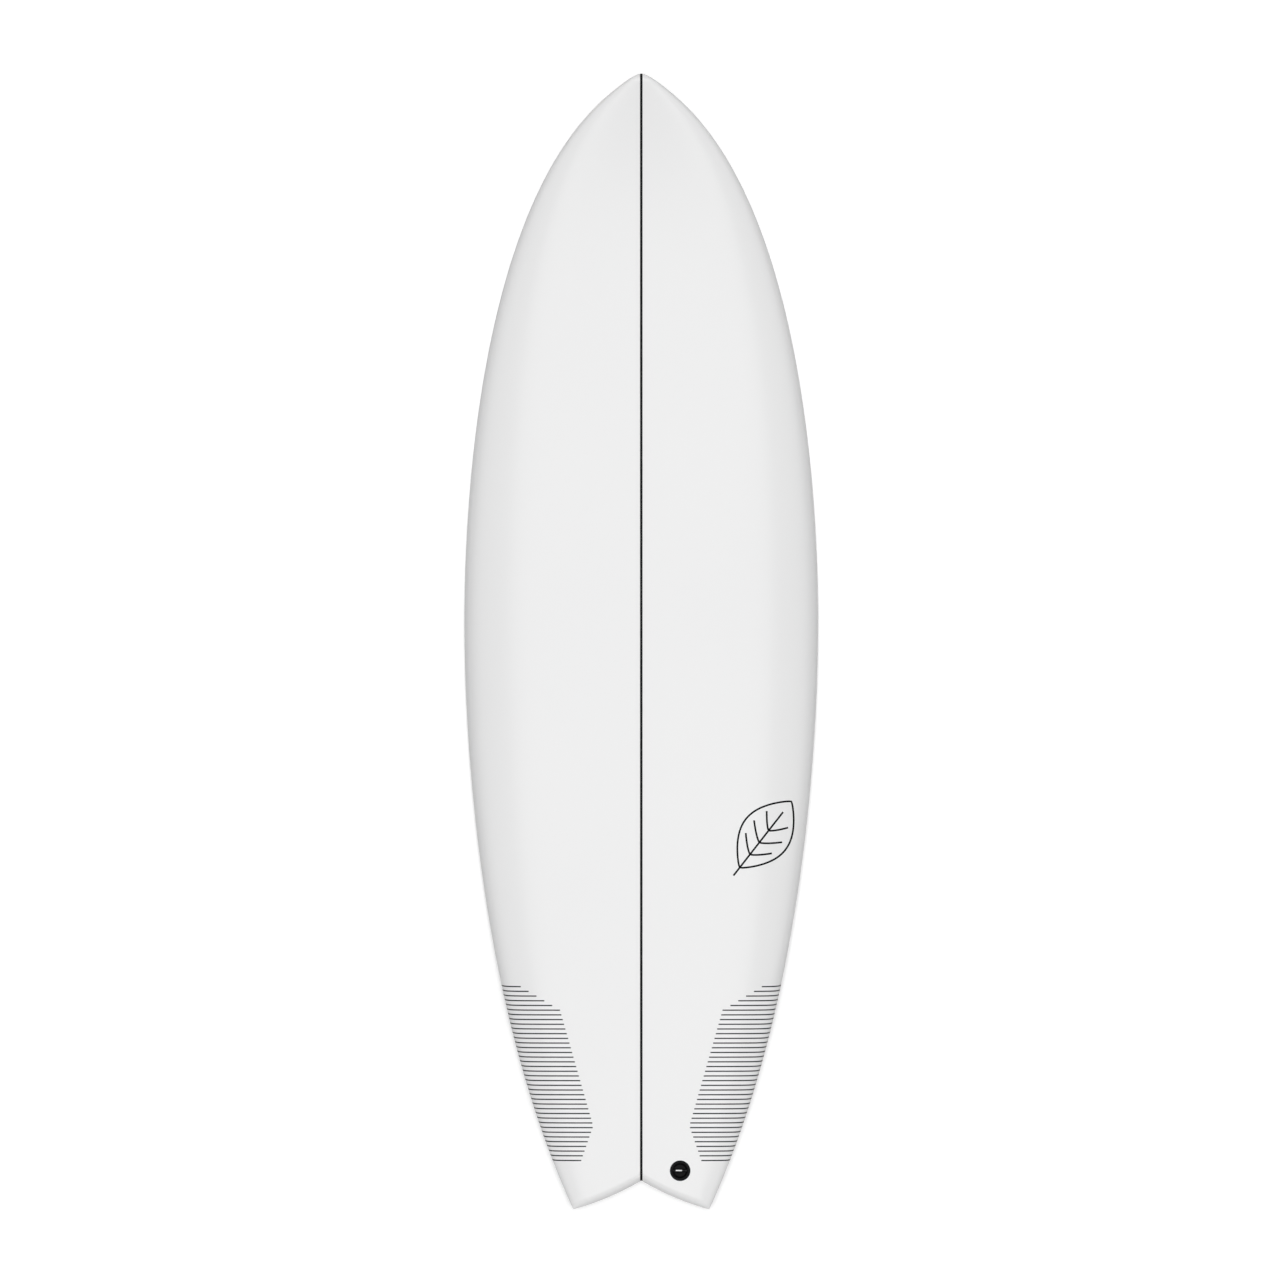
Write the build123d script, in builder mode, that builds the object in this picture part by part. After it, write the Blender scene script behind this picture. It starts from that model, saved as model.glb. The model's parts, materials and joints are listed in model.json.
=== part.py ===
from build123d import *
import os
from math import cos, radians

os.makedirs("parts", exist_ok=True)

# The board is drawn level, nose towards +Y and deck towards +Z, with the stringer on x = 0.
# Millimetres and degrees throughout.
LENGTH = 1676.4  # 5 ft 6 in
HALF_LENGTH = LENGTH / 2
HALF_WIDTH = 261.5  # about 20 5/8 in across
THICKNESS = 63.5  # 2 1/2 in at the middle
NOSE_THICKNESS = 11.0
TAIL_THICKNESS = 15.0
FOIL_POWER = 1.8  # how late the thickness drops towards the tips
NOSE_ROCKER = 110.0
NOSE_ROCKER_POWER = 2.2
TAIL_ROCKER = 46.0
TAIL_ROCKER_POWER = 2.0
CONCAVE = 2.5  # the rise of the bottom between its two flats
RAIL_APEX = 0.36  # height of the rail's widest line, as a share of the thickness
DECK_SHOULDER = 0.8  # how far out the deck stays near its full height, as a share of the width
DECK_RAIL = 0.9  # how square the rail's deck side is: 0.55 is elliptical and 1 square
RAIL_LEAN = 0.97  # under 1, the deck meets the widest line at a slight slope
BOTTOM_SHARES = (0.3, 0.6, 0.95)  # control points of the bottom, as shares of the width
BOTTOM_RAIL = 0.75  # how square the rail's bottom side is
WIDE_POINT = 809.5  # from the nose

# The outline's right half, as (half width, distance from the nose): three Bezier curves.
OUTLINE = (
    ((0.0, 0.0), (13.2, 0.0), (50.9, 33.5), (53.9, 36.1)),
    ((53.9, 36.1), (235.8, 197.3), (HALF_WIDTH, 617.0), (HALF_WIDTH, WIDE_POINT)),
    ((HALF_WIDTH, WIDE_POINT), (HALF_WIDTH, 953.0), (246.6, 1357.7), (100.5, LENGTH)),
)
STATIONS = 56
NOSE_FLAT = 0.5  # the blunt end of the nose
NOSE_ROUND = 12.0  # length of the nose's round end, seen from the side
NOSE_BACK = 3.0  # an inner hull starts this many insets behind the nose
STATION_GAP = 1.0  # the least space between stations

# The swallow tail: each half of its edge is an arc from the notch to a tip.
NOTCH = (0.0, -795.8)
NOTCH_BULGE = (50.0, -820.8)
NOTCH_TIP = (100.0, -839.2)
NOTCH_WALL = 8.0  # solid laminate behind the rolled edge of the notch

# Laminate, stringer and the gap that glue fills
SKIN = 0.8
SKIN_OVERLAP = 3.0  # how far a skin's inner half hull is cut past the widest line
GLUE = 0.15
SEAM = 0.05
STRINGER = 3.2

# Cutters
PAST = 150.0  # beyond every surface of the board
OPENING = 6.0  # how far above the surface a pocket's cutter starts
SKIN_HOLE = 4.0  # deeper than a skin

# Leash plug
CUP_PLACE = (57.4, -781.1)
CUP_FLANGE_RADIUS = 15.1
CUP_FLANGE_PROUD = 0.5
CUP_FLANGE_DEPTH = 1.2
CUP_RADIUS = 12.8
CUP_DEPTH = 15.0
CUP_MOUTH_RADIUS = 10.8
CUP_FLOOR_RADIUS = 9.6
CUP_FLOOR_DEPTH = 12.0
BAR_RADIUS = 2.0
BAR_LENGTH = 24.4
BAR_DEPTH = 4.5
LEASH_BLOCK_RADIUS = 25.0

# Fins: two tabs each, pushed into two round plugs and held by a grub screw in each plug
TAB_SPACING = 58.0
TAB_LENGTH = 15.4
TAB_THICKNESS = 5.9
TAB_DEPTH = 13.0
TAB_ROOT = 1.0  # how far a tab runs up into the blade
TAB_CLEARANCE = 0.3
SLOT_DEPTH = 13.6
PLUG_RADIUS = 11.0
PLUG_DEPTH = 15.0
PLUG_SHIFT = 2.0  # the plug's centre lies this far inboard of its slot
SCREW_RADIUS = 2.08  # 8-32 thread
SCREW_HOLE_RADIUS = 2.15
SCREW_HOLE_START = 1.0  # the hole opens into the slot this far past the screw's inner end
SCREW_LENGTH = 6.0
SCREW_CHAMFER = 0.4
SCREW_TILT = 20.0
SCREW_END_DEPTH = 8.0
HEX_ACROSS_CORNERS = 2.75
HEX_DEPTH = 2.5
BLOCK_LENGTH = 116.0
BLOCK_WIDTH = 42.0
FIN_THICKNESS = 6.5
FIN_EDGE = 0.7  # thickness of the trailing edge
FIN_TAPER = 0.7  # the share of its thickness that a fin loses towards its tip
FIN_FOIL = ((0.0, 1.15), (0.45, 1.45))  # the foiled face, in shares of the chord and thickness
FIN_SECTIONS = (-4.0, 0.0, 12.0, 30.0, 50.0, 68.0, 84.0, 97.0, 106.0, 111.5, 114.2)
FIN_DEPTH = 115.0
FIN_LEADING = ((-55.5, 0.0), (-30.0, 48.0), (5.0, 113.0), (66.0, FIN_DEPTH))
FIN_TRAILING = ((55.5, 0.0), (41.0, 40.0), (73.0, 106.0), (66.0, FIN_DEPTH))
BASE_CLEARANCE = 0.35

# name: (x, y) of the base's middle, toe-in, cant, scale
FINS = {
    "front": ((160.0, -503.0), 3.0, 6.0, 1.0),
    "rear": ((108.0, -648.0), 2.0, 4.0, 0.9),
}
SIDES = {"left": -1, "right": 1}
TABS = {"fore": -TAB_SPACING / 2, "aft": TAB_SPACING / 2}

# At rest the board lies on its belly and front fin tips: it is pitched nose down about the
# middle of the stringer's underside, lifted to the floor and centred over the origin.
PITCH = 6.646
LIFT = 25.6
SHIFT = -9.1


def bezier(points, t):
    """The point of a Bezier curve at the parameter t."""
    while len(points) > 1:
        points = [
            tuple(a + (b - a) * t for a, b in zip(first, second))
            for first, second in zip(points, points[1:])
        ]
    return points[0]


def bezier_at(points, axis, value):
    """The point where a Bezier curve that rises along an axis reaches a value."""
    low, high = 0.0, 1.0
    for _ in range(50):
        middle = (low + high) / 2
        if bezier(points, middle)[axis] < value:
            low = middle
        else:
            high = middle
    return bezier(points, high)


def half_width(y):
    from_nose = min(HALF_LENGTH - y, LENGTH)
    curve = next(curve for curve in OUTLINE if from_nose <= curve[-1][1])
    return bezier_at(curve, 1, from_nose)[0]


def rocker(y):
    """Height of the bottom along the stringer."""
    reach = abs(y) / HALF_LENGTH
    if y > 0:
        return NOSE_ROCKER * reach**NOSE_ROCKER_POWER
    return TAIL_ROCKER * reach**TAIL_ROCKER_POWER


def thickness(y):
    tip = NOSE_THICKNESS if y > 0 else TAIL_THICKNESS
    return tip + (THICKNESS - tip) * (1 - (abs(y) / HALF_LENGTH) ** FOIL_POWER)


def apex(y):
    """Height of the rail's widest line, where the deck and bottom laminates meet."""
    return rocker(y) + RAIL_APEX * thickness(y)


def nose_height(y):
    """The share of the thickness that the round end of the nose leaves at y."""
    back = min((HALF_LENGTH - y) / NOSE_ROUND, 1.0)
    return (1 - (1 - back) ** 2) ** 0.5


def deck_curve(y, inset=0.0):
    """Right half of the deck at y, from the stringer to the rail's widest line."""
    wide = half_width(y) - inset
    rail = apex(y)
    top = rail + nose_height(y) * (1 - RAIL_APEX) * thickness(y) - inset
    return (
        (0.0, top),
        (DECK_SHOULDER * wide, top),
        (RAIL_LEAN * wide, rail + DECK_RAIL * (top - rail)),
        (wide, rail),
    )


def bottom_curve(y, inset=0.0):
    """Right half of the bottom at y, from the stringer to the rail's widest line."""
    wide = half_width(y) - inset
    rail = apex(y)
    middle = rail - nose_height(y) * RAIL_APEX * thickness(y) + inset
    flat = middle - CONCAVE * (1 - (y / HALF_LENGTH) ** 2)
    near, half, far = [share * wide for share in BOTTOM_SHARES]
    return (
        (0.0, middle),
        (near, middle),
        (half, flat),
        (far, flat),
        (wide, rail + BOTTOM_RAIL * (flat - rail)),
        (wide, rail),
    )


def surface_plane(curve, x, y, up):
    """A plane on the deck or bottom, with its normal outwards and x_dir towards the tail."""
    step = 1.0

    def height(x, y):
        return bezier_at(curve(y), 0, abs(x))[1]

    slope_x = (height(x + step, y) - height(x - step, y)) / (2 * step)
    slope_y = (height(x, y + step) - height(x, y - step)) / (2 * step)
    return Plane(
        origin=(x, y, height(x, y)),
        x_dir=(0, -1, -slope_y),
        z_dir=(-up * slope_x, -up * slope_y, up),
    )


def mirrored(points):
    return [(-x, z) for x, z in points]


def stations(inset):
    """Places along the board, closest together at the nose, where the outline turns most."""
    front = HALF_LENGTH - NOSE_FLAT - NOSE_BACK * max(inset, 0)
    back = -HALF_LENGTH + max(inset, 0)
    between = [HALF_LENGTH - LENGTH * (i / STATIONS) ** 2 for i in range(1, STATIONS)]
    clear = [y for y in between if back + STATION_GAP < y < front - STATION_GAP]
    return [front, *clear, back]


def notch_cutter(inset):
    """The space between the tips of the swallow tail, moved forward for the inside."""
    forward = NOTCH_WALL if inset > 0 else 0.0
    with BuildPart() as cutter:
        with BuildSketch():
            with BuildLine():
                for side in SIDES.values():
                    ThreePointArc(
                        (NOTCH[0], NOTCH[1] + forward),
                        (side * NOTCH_BULGE[0], NOTCH_BULGE[1] + forward),
                        (side * NOTCH_TIP[0], NOTCH_TIP[1] + forward),
                    )
                Polyline(
                    (-NOTCH_TIP[0], NOTCH_TIP[1] + forward),
                    (-NOTCH_TIP[0], -HALF_LENGTH - PAST),
                    (NOTCH_TIP[0], -HALF_LENGTH - PAST),
                    (NOTCH_TIP[0], NOTCH_TIP[1] + forward),
                )
            make_face()
        extrude(amount=PAST, both=True)
    return cutter.part


def half_hull(curve, inset, seam, overlap=0.0):
    """The deck half or bottom half of the hull, closed by a flat face along the rail line."""
    with BuildPart() as hull:
        for y in stations(inset):
            with BuildSketch(Plane.XZ.offset(-y)):
                with BuildLine():
                    points = curve(y, inset)
                    wide, rail = points[-1]
                    raised = [*points[:-1], (wide, rail + seam)]
                    Bezier(*raised)
                    Bezier(*mirrored(raised))
                    if overlap:
                        Polyline(
                            (-wide, rail + seam),
                            (-wide, rail - overlap),
                            (wide, rail - overlap),
                            (wide, rail + seam),
                        )
                    else:
                        Line((-wide, rail + seam), (wide, rail + seam))
                make_face()
        loft(ruled=True)
        add(notch_cutter(inset), mode=Mode.SUBTRACT)
    return hull.part


def full_hull(inset):
    """The whole hull in one solid, smaller by the inset all round."""
    with BuildPart() as hull:
        for y in stations(inset):
            with BuildSketch(Plane.XZ.offset(-y)):
                with BuildLine():
                    for points in (deck_curve(y, inset), bottom_curve(y, inset)):
                        Bezier(*points)
                        Bezier(*mirrored(points))
                make_face()
        loft(ruled=True)
        add(notch_cutter(inset), mode=Mode.SUBTRACT)
    return hull.part


def round_pocket(plane, radius, depth, centre=(0, 0)):
    """A cylinder from above the surface down to a depth, to cut a hole with."""
    with BuildPart() as pocket:
        with BuildSketch(plane.offset(-depth)):
            with Locations(centre):
                Circle(radius)
        extrude(amount=depth + OPENING)
    return pocket.part


def fin_plane(name, side):
    """The plane of a fin's base: x towards the tail, z along the fin, y across it."""
    (x, y), toe, cant, _ = FINS[name]
    base = surface_plane(bottom_curve, side * x, y, -1)
    turned = base.location * Rot(0, 0, -side * toe) * Rot(side * cant, 0, 0)
    return Plane(turned)


def fin_plug(plane, side, along):
    """A round plug, flush with the bottom, with a slot for a tab and a tilted screw hole."""
    with BuildPart() as plug:
        add(round_pocket(plane, PLUG_RADIUS, PLUG_DEPTH, (along, side * PLUG_SHIFT)))
        add(outer_hull, mode=Mode.INTERSECT)
        with BuildSketch(plane.offset(-SLOT_DEPTH)):
            with Locations((along, 0)):
                Rectangle(TAB_LENGTH + 2 * TAB_CLEARANCE, TAB_THICKNESS + 2 * TAB_CLEARANCE)
        extrude(amount=SLOT_DEPTH + OPENING, mode=Mode.SUBTRACT)
        with BuildSketch(screw_plane(plane, side, along).offset(-SCREW_HOLE_START)):
            Circle(SCREW_HOLE_RADIUS)
        extrude(amount=SCREW_END_DEPTH * 2, mode=Mode.SUBTRACT)
    return plug


def screw_plane(plane, side, along):
    """The plane of a grub screw's inner end, which stops just short of the tab."""
    reach = SCREW_RADIUS * cos(radians(SCREW_TILT))
    across = TAB_THICKNESS / 2 + TAB_CLEARANCE + reach
    seat = plane.location * Pos(along, side * across, -SCREW_END_DEPTH) * Rot(-side * SCREW_TILT, 0, 0)
    return Plane(seat)


def grub_screw(plane):
    """A headless screw with a hexagon socket in its outer end."""
    with BuildPart() as screw:
        with BuildSketch(plane):
            Circle(SCREW_RADIUS)
        extrude(amount=SCREW_LENGTH)
        chamfer(screw.edges().filter_by(GeomType.CIRCLE), SCREW_CHAMFER)
        with BuildSketch(plane.offset(SCREW_LENGTH)):
            RegularPolygon(HEX_ACROSS_CORNERS / 2, 6)
        extrude(amount=-HEX_DEPTH, mode=Mode.SUBTRACT)
    return screw


def fin_blade(plane, side, scale):
    """A fin with a flat inner face and a foiled outer one, and its two tabs."""
    with BuildPart() as fin:
        for depth in FIN_SECTIONS:
            level = max(depth, 0.0)
            lead = bezier_at(FIN_LEADING, 1, level)[0] * scale
            trail = bezier_at(FIN_TRAILING, 1, level)[0] * scale
            chord = trail - lead
            thick = FIN_THICKNESS * (1 - FIN_TAPER * level / FIN_DEPTH)
            inner = side * TAB_THICKNESS / 2
            foil = [(lead + a * chord, inner - side * b * thick) for a, b in FIN_FOIL]
            with BuildSketch(plane.offset(depth * scale)):
                with BuildLine():
                    Bezier(
                        (lead, inner),
                        *foil,
                        (trail, inner - side * FIN_EDGE),
                    )
                    Line((trail, inner - side * FIN_EDGE), (trail, inner))
                    Line((trail, inner), (lead, inner))
                make_face()
        loft()
        add(grown_hull, mode=Mode.SUBTRACT)
        with BuildSketch(plane.offset(-TAB_DEPTH)):
            with Locations(*[(along, 0) for along in TABS.values()]):
                Rectangle(TAB_LENGTH, TAB_THICKNESS)
        extrude(amount=TAB_DEPTH + TAB_ROOT)
    return fin


def fin_block(plane):
    """A foam insert from skin to skin round the two plugs of a fin."""
    with BuildPart() as block:
        with BuildSketch(plane):
            SlotOverall(BLOCK_LENGTH, BLOCK_WIDTH)
        extrude(amount=PAST, both=True)
        add(core_hull, mode=Mode.INTERSECT)
    return block


def finish(piece, label):
    """Sets a piece down in the resting pose and writes it."""
    placed = Pos(0, SHIFT, LIFT) * Rot(-PITCH, 0, 0) * piece.part
    placed.label = label
    export_step(placed, f"parts/{label}.step")


outer_hull = full_hull(0.0)
grown_hull = full_hull(-BASE_CLEARANCE)
core_hull = full_hull(SKIN + GLUE)
cup_plane = surface_plane(deck_curve, *CUP_PLACE, 1)
fin_planes = {(name, side): fin_plane(name, sign) for name in FINS for side, sign in SIDES.items()}

# Laminates
with BuildPart() as deck_skin:
    add(half_hull(deck_curve, 0.0, SEAM))
    add(half_hull(deck_curve, SKIN, SEAM, overlap=SKIN_OVERLAP), mode=Mode.SUBTRACT)
    add(round_pocket(cup_plane, CUP_FLANGE_RADIUS + GLUE, SKIN_HOLE), mode=Mode.SUBTRACT)

with BuildPart() as bottom_skin:
    add(half_hull(bottom_curve, 0.0, -SEAM))
    add(half_hull(bottom_curve, SKIN, -SEAM, overlap=-SKIN_OVERLAP), mode=Mode.SUBTRACT)
    for (name, side), plane in fin_planes.items():
        for along in TABS.values():
            centre = (along, SIDES[side] * PLUG_SHIFT)
            add(round_pocket(plane, PLUG_RADIUS + GLUE, SKIN_HOLE, centre), mode=Mode.SUBTRACT)

# Leash plug
with BuildPart() as leash_cup:
    with BuildSketch(Plane(cup_plane.origin, cup_plane.x_dir, -cup_plane.y_dir)):
        with BuildLine():
            Polyline(
                (0, -CUP_DEPTH),
                (CUP_RADIUS, -CUP_DEPTH),
                (CUP_RADIUS, -CUP_FLANGE_DEPTH),
                (CUP_FLANGE_RADIUS, -CUP_FLANGE_DEPTH),
                (CUP_FLANGE_RADIUS, 0),
                (CUP_FLANGE_RADIUS - CUP_FLANGE_PROUD, CUP_FLANGE_PROUD),
                (CUP_MOUTH_RADIUS, CUP_FLANGE_PROUD),
                (CUP_FLOOR_RADIUS, -CUP_FLOOR_DEPTH),
                (0, -CUP_FLOOR_DEPTH),
                close=True,
            )
        make_face()
    revolve(axis=Axis(cup_plane.origin, cup_plane.z_dir))
    with BuildSketch(Plane(cup_plane.location * Pos(0, 0, -BAR_DEPTH) * Rot(90, 0, 0))):
        Circle(BAR_RADIUS + SEAM)
    extrude(amount=BAR_LENGTH / 2 + SEAM, both=True, mode=Mode.SUBTRACT)

with BuildPart() as leash_bar:
    with BuildSketch(Plane(cup_plane.location * Pos(0, 0, -BAR_DEPTH) * Rot(90, 0, 0))):
        Circle(BAR_RADIUS)
    extrude(amount=BAR_LENGTH / 2, both=True)

with BuildPart() as cup_pocket:
    add(round_pocket(cup_plane, CUP_RADIUS + GLUE, CUP_DEPTH + GLUE))
    add(round_pocket(cup_plane, CUP_FLANGE_RADIUS + GLUE, CUP_FLANGE_DEPTH + GLUE))

with BuildPart() as leash_block:
    add(round_pocket(cup_plane, LEASH_BLOCK_RADIUS, PAST))
    add(core_hull, mode=Mode.INTERSECT)
    add(cup_pocket.part, mode=Mode.SUBTRACT)

# Core halves and stringer
with BuildPart() as foam_core:
    add(core_hull)
    add(round_pocket(cup_plane, LEASH_BLOCK_RADIUS + GLUE, PAST), mode=Mode.SUBTRACT)
    for plane in fin_planes.values():
        with BuildSketch(plane):
            SlotOverall(BLOCK_LENGTH + 2 * GLUE, BLOCK_WIDTH + 2 * GLUE)
        extrude(amount=PAST, both=True, mode=Mode.SUBTRACT)

for side, sign in SIDES.items():
    with BuildPart() as foam_core_half:
        add(foam_core.part)
        keep = Keep.TOP if sign > 0 else Keep.BOTTOM
        split(bisect_by=Plane.YZ.offset(sign * (STRINGER / 2 + GLUE)), keep=keep)
    finish(foam_core_half, f"foam_core_{side}")

with BuildPart() as stringer:
    add(core_hull)
    Box(STRINGER, 2 * LENGTH, 6 * THICKNESS, mode=Mode.INTERSECT)

finish(deck_skin, "deck_skin")
finish(bottom_skin, "bottom_skin")
finish(stringer, "stringer")
finish(leash_cup, "leash_cup")
finish(leash_bar, "leash_bar")
finish(leash_block, "leash_block")

# Fins, plugs, screws and the inserts round them
for (name, side), plane in fin_planes.items():
    sign = SIDES[side]
    block = fin_block(plane)
    for tab, along in TABS.items():
        centre = (along, sign * PLUG_SHIFT)
        with block:
            add(round_pocket(plane, PLUG_RADIUS + GLUE, PLUG_DEPTH + GLUE, centre), mode=Mode.SUBTRACT)
        finish(fin_plug(plane, sign, along), f"fin_plug_{name}_{side}_{tab}")
        finish(grub_screw(screw_plane(plane, sign, along)), f"grub_screw_{name}_{side}_{tab}")
    finish(block, f"fin_block_{name}_{side}")
    finish(fin_blade(plane, sign, FINS[name][3]), f"fin_{name}_{side}")
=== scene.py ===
import json
from math import atan2, cos, pi, radians, sin

import bmesh
import bpy
import numpy as np
from mathutils import Matrix, Vector
from mathutils.geometry import delaunay_2d_cdt


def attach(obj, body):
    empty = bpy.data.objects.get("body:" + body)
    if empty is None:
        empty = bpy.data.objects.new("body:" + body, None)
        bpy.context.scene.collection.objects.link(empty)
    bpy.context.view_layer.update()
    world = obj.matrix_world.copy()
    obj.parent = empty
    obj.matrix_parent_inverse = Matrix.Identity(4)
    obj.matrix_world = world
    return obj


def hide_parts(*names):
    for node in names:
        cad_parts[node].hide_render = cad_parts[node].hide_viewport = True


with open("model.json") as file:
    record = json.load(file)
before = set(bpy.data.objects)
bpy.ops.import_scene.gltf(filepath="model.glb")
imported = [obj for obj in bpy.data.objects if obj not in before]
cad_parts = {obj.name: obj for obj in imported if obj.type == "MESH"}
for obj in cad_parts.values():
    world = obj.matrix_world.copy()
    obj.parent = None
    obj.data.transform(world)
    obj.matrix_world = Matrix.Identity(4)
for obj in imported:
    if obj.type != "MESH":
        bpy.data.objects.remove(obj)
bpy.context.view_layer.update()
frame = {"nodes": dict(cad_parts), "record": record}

# ---------------------------------------------------------------- sizes
# Shapes are worked out in the board's own level frame, in millimetres: nose towards +Y, deck
# towards +Z, stringer on x = 0. PLACE then sets them down in the frame, in metres, pitched
# nose down so that the board lies on its belly and front fin tips.
LENGTH = 1676.4
HALF_LENGTH = LENGTH / 2
HALF_WIDTH = 261.5
THICKNESS = 63.5
NOSE_THICKNESS = 11.0
TAIL_THICKNESS = 15.0
FOIL_POWER = 1.8
NOSE_ROCKER = 110.0
NOSE_ROCKER_POWER = 2.2
TAIL_ROCKER = 46.0
TAIL_ROCKER_POWER = 2.0
CONCAVE = 2.5
RAIL_APEX = 0.36
DECK_SHOULDER = 0.8
DECK_RAIL = 0.9
RAIL_LEAN = 0.97
BOTTOM_SHARES = (0.3, 0.6, 0.95)
BOTTOM_RAIL = 0.75
WIDE_POINT = 809.5
NOSE_ROUND = 12.0
OUTLINE = (
    ((0.0, 0.0), (13.2, 0.0), (50.9, 33.5), (53.9, 36.1)),
    ((53.9, 36.1), (235.8, 197.3), (HALF_WIDTH, 617.0), (HALF_WIDTH, WIDE_POINT)),
    ((HALF_WIDTH, WIDE_POINT), (HALF_WIDTH, 953.0), (246.6, 1357.7), (100.5, LENGTH)),
)
NOTCH = Vector((0.0, -795.8))
NOTCH_BULGE = Vector((50.0, -820.8))
NOTCH_TIP = Vector((100.5, -HALF_LENGTH))
NOTCH_REACH = 100.0  # the notch's circles count only this far ahead of it
DECK_ROLL = 12.0  # how far in the deck rolls down to the notch
BOTTOM_ROLL = 3.0
OUTLINE_STEPS = 600  # points on each curve of the outline
BISECTIONS = 50

PITCH = 6.646
LIFT = 25.6
SHIFT = -9.1
PLACE = (
    Matrix.Scale(0.001, 4)
    @ Matrix.Translation((0, SHIFT, LIFT))
    @ Matrix.Rotation(-radians(PITCH), 4, "X")
)

# Print on the deck
PRINT_LIFT = 0.12  # the print stands this far off the paint
STRINGER_LINE = 3.7
STRINGER_POINTS = 160
STRINGER_END = 12.0  # near its ends, where the board curves most, its points crowd together
STRINGER_END_POINTS = 12
STRINGER_GAP = 0.02  # what it leaves free at the very ends
HATCH_COUNT = 38
HATCH_FIRST = -509.3
HATCH_PITCH = 6.938
HATCH_LINE = 1.8
HATCH_INNER = ((508.1, 180.0), (544.0, 120.0), (715.0, 71.0), (767.0, 89.0))  # (-y, x)
HATCH_UNDER = 0.86  # where the lines end on the bottom's half section
HATCH_POINTS = (40, 16)  # along each line, on the deck and on the bottom
SLANT_STEP = 5.0
EMBLEM_CENTRE = (183.5, -284.6)
EMBLEM_LINE = 2.7
LEAF_LENGTH = 124.0
LEAF_WIDTH = 74.0
LEAF_TILT = radians(38)
LEAF_VEINS = (0.2, 0.38, 0.56)  # where they leave the rib, as shares of the leaf's length
VEIN_REACH = 0.17  # how far a vein runs towards the tip
VEIN_OUT = 0.72  # how near it comes to the edge
VEIN_BEND = 0.8  # under 1, a vein leaves the rib steeply
VEIN_POINTS = 20
RIB_ENDS = (-0.12, 0.84)  # as shares of the leaf's length
RIB_POINTS = 40
LEAF_POINTS = 61
LEAF_BLUNT = 0.85  # under 1, the leaf is fuller than a sine curve

CUP_PLACE = (57.4, -781.1)
CUP_FLANGE_RADIUS = 15.1
CUP_FLANGE_PROUD = 0.5
CUP_FLANGE_DEPTH = 1.2
CUP_MOUTH_RADIUS = 10.8
CUP_FLOOR_RADIUS = 9.6
CUP_FLOOR_DEPTH = 12.0
CUP_EDGE_ROUND = 0.6
CUP_MOUTH_ROUND = 1.3
CUP_FLOOR_ROUND = 1.2
TURN_STEPS = 96
ARC_POINTS = 8
CENTRE_HOLE = 0.01  # a turned piece stops this far short of its axis

# A painted highlight on the leash bar: a bright strip along the round pin's top, drawn as metal
# the leash string rubbed bright.
HIGHLIGHT_LENGTH = 9.0  # length of the painted highlight along the leash bar's middle
HIGHLIGHT_WIDTH = 2.0
HIGHLIGHT_SHIFT = 1.9  # how far it lies towards the stringer
PIN_BLACK = (0.012, 0.012, 0.013, 1)

FLOOR_SIZE = 300.0
CAMERA_DISTANCE = 40.0  # far enough to see the board almost without perspective
VIEW_CENTRE = (-1.9, 2.8, 30.0)  # in the level frame
VIEW_WIDTH = 1.892
SENSOR = 36.0
FLOOR_GLOW = 0.38  # what the board's sides and underside get from below
ROOM_LIGHT = 0.22
SOFTBOX_LIGHT = 1.9
SOFTBOX_REACH = (12.0, 14.6)  # half its angles across and along the board, in degrees
SOFTBOX_EDGE = 1.5
KEY_LIGHT = 2.18
KEY_ANGLE = 7.0

# name: (x, y) of the fin base's middle, toe-in, cant
FINS = {"front": ((160.0, -503.0), 3.0, 6.0), "rear": ((108.0, -648.0), 2.0, 4.0)}
SIDES = {"left": -1, "right": 1}
TABS = (-29.0, 29.0)
PLUG_RADIUS = 11.0
PLUG_SHIFT = 2.0

FIN_SCALES = {"front": 1.0, "rear": 0.9}
FIN_DEPTH = 115.0  # the fins' sizes are the front fin's; the rear one is scaled
FIN_LEADING = ((-55.5, 0.0), (-30.0, 48.0), (5.0, 113.0), (66.0, FIN_DEPTH))
FIN_TRAILING = ((55.5, 0.0), (41.0, 40.0), (73.0, 106.0), (66.0, FIN_DEPTH))
FIN_THICKNESS = 6.5
FIN_EDGE = 0.7  # thickness of the trailing edge
FIN_TAPER = 0.7  # the share of its thickness that a fin loses towards its tip
FIN_FOIL = ((0.0, 1.15), (0.45, 1.45))  # the foiled face, in shares of the chord and thickness
FIN_TIP = 114.6  # where the blade is closed
FIN_TIP_ROUND = 5.0
FIN_ROWS = 90
FIN_COLUMNS = 48
BASE_CLEARANCE = 0.35  # between a fin's base and the bottom
BASE_PASSES = 4
BASE_FADE = 4  # how fast the base's own shape fades out along the blade
TAB_LENGTH = 15.4
TAB_THICKNESS = 5.9
TAB_DEPTH = 13.0
TAB_ROOT = 1.0  # how far a tab runs up into the blade
TAB_ROUND = 0.6
CORNER_POINTS = 5
SHARP_ANGLE = radians(35)


# ---------------------------------------------------------------- the board's surfaces
def bezier(values, t):
    """A Bezier curve's value at t, from its control values."""
    while len(values) > 1:
        values = [a + (b - a) * t for a, b in zip(values, values[1:])]
    return values[0]


STEPS = np.linspace(0, 1, OUTLINE_STEPS)
OUTLINE_WIDTHS = np.concatenate([bezier([p[0] for p in curve], STEPS) for curve in OUTLINE])
OUTLINE_PLACES = np.concatenate([bezier([p[1] for p in curve], STEPS) for curve in OUTLINE])


def half_width(y):
    return np.interp(HALF_LENGTH - y, OUTLINE_PLACES, OUTLINE_WIDTHS)


def rocker(y):
    """Height of the bottom along the stringer."""
    reach = np.abs(y) / HALF_LENGTH
    nose = NOSE_ROCKER * reach**NOSE_ROCKER_POWER
    return np.where(y > 0, nose, TAIL_ROCKER * reach**TAIL_ROCKER_POWER)


def thickness(y):
    tip = np.where(y > 0, NOSE_THICKNESS, TAIL_THICKNESS)
    return tip + (THICKNESS - tip) * (1 - (np.abs(y) / HALF_LENGTH) ** FOIL_POWER)


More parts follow.
